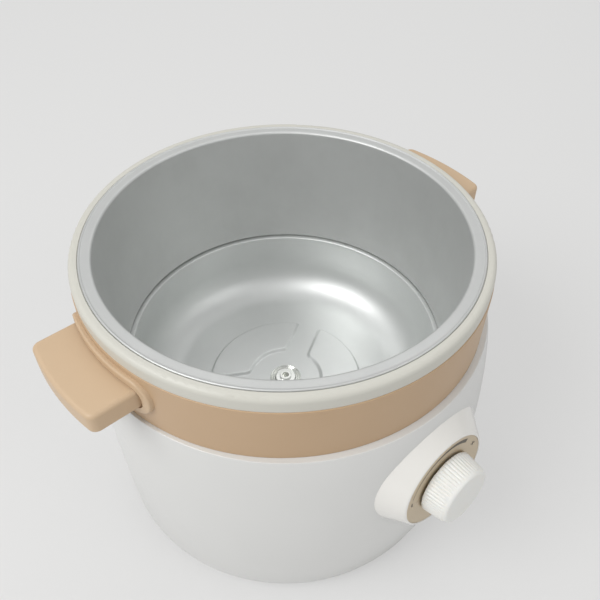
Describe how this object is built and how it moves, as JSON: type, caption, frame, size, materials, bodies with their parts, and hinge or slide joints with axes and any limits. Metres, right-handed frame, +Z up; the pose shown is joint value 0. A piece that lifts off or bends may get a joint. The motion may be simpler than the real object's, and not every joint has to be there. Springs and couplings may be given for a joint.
{
  "type": "rice cooker",
  "caption": "Round rice cooker base with a fixed heating pan, heating dish, side handles, trim band and a tilted front dial knob that turns.",
  "frame": {"origin": "on the pan axis, at the surface the cooker stands on", "axes": "+Z up along the pan axis; -Y towards the dial; +X and -X towards the handles; +Y towards the mains inlet"},
  "size_m": [0.3024, 0.2879, 0.211],
  "materials": {
    "shell_white": "smooth gloss",
    "band_tan": "satin",
    "ring_cream": "fine satin",
    "pan_aluminium": "satin anodised",
    "dish_aluminium": "brushed satin",
    "dial_gold": "fine metallic",
    "knob_white": "satin",
    "socket_black": "fine matt",
    "base_grey": "fine matt",
    "foot_rubber": "matt",
    "hub_brass": "satin",
    "hub_steel": "satin",
    "screw_steel": "polished",
    "pin_brass": "polished",
    "cast_aluminium": "as cast",
    "ceramic_white": "bare ceramic",
    "wrap_wool": "glass fibre",
    "wire_red": "sleeving",
    "wire_blue": "sleeving"
  },
  "bodies": {
    "cooker": {"base_plate": "base_grey", "base_screw_1": "screw_steel", "base_screw_2": "screw_steel", "base_screw_3": "screw_steel", "base_screw_4": "screw_steel", "dial_housing": "shell_white", "dial_plate": "dial_gold", "foot_1": "foot_rubber", "foot_2": "foot_rubber", "foot_3": "foot_rubber", "foot_4": "foot_rubber", "handle_band": "band_tan", "handle_left": "band_tan", "handle_right": "band_tan", "handle_screw_1": "screw_steel", "handle_screw_2": "screw_steel", "handle_screw_3": "screw_steel", "handle_screw_4": "screw_steel", "heat_shield": "hub_steel", "heater_plate": "cast_aluminium", "heater_ring": "hub_steel", "heating_dish": "dish_aluminium", "housing_screw_1": "screw_steel", "housing_screw_2": "screw_steel", "housing_screw_3": "screw_steel", "hub_back_nut": "hub_steel", "hub_nut": "hub_brass", "hub_sleeve": "hub_steel", "hub_stud": "hub_brass", "hub_washer": "hub_steel", "inlet_pin_1": "pin_brass", "inlet_pin_2": "pin_brass", "inlet_pin_3": "pin_brass", "inlet_screw_1": "screw_steel", "inlet_screw_2": "screw_steel", "inlet_socket": "socket_black", "insulation_wrap": "wrap_wool", "outer_shell": "shell_white", "pan_wall": "pan_aluminium", "sensor_bulb": "hub_steel", "shield_post_1": "screw_steel", "shield_post_2": "screw_steel", "shield_post_3": "screw_steel", "terminal_block": "ceramic_white", "thermal_fuse": "hub_brass", "thermostat_body": "socket_black", "thermostat_nut": "hub_brass", "top_ring": "ring_cream", "wire_heater": "wire_red", "wire_live": "wire_red", "wire_neutral": "wire_blue"},
    "dial_knob": {"knob": "knob_white", "knob_spindle": "hub_steel"}
  },
  "joints": [
    {"name": "dial_turn", "type": "hinge", "parent": "cooker", "child": "dial_knob", "pos_m": [0, -0.1413, 0.115], "axis": [0, -0.9976, 0.0698], "range_deg": [-270, 0]}
  ]
}
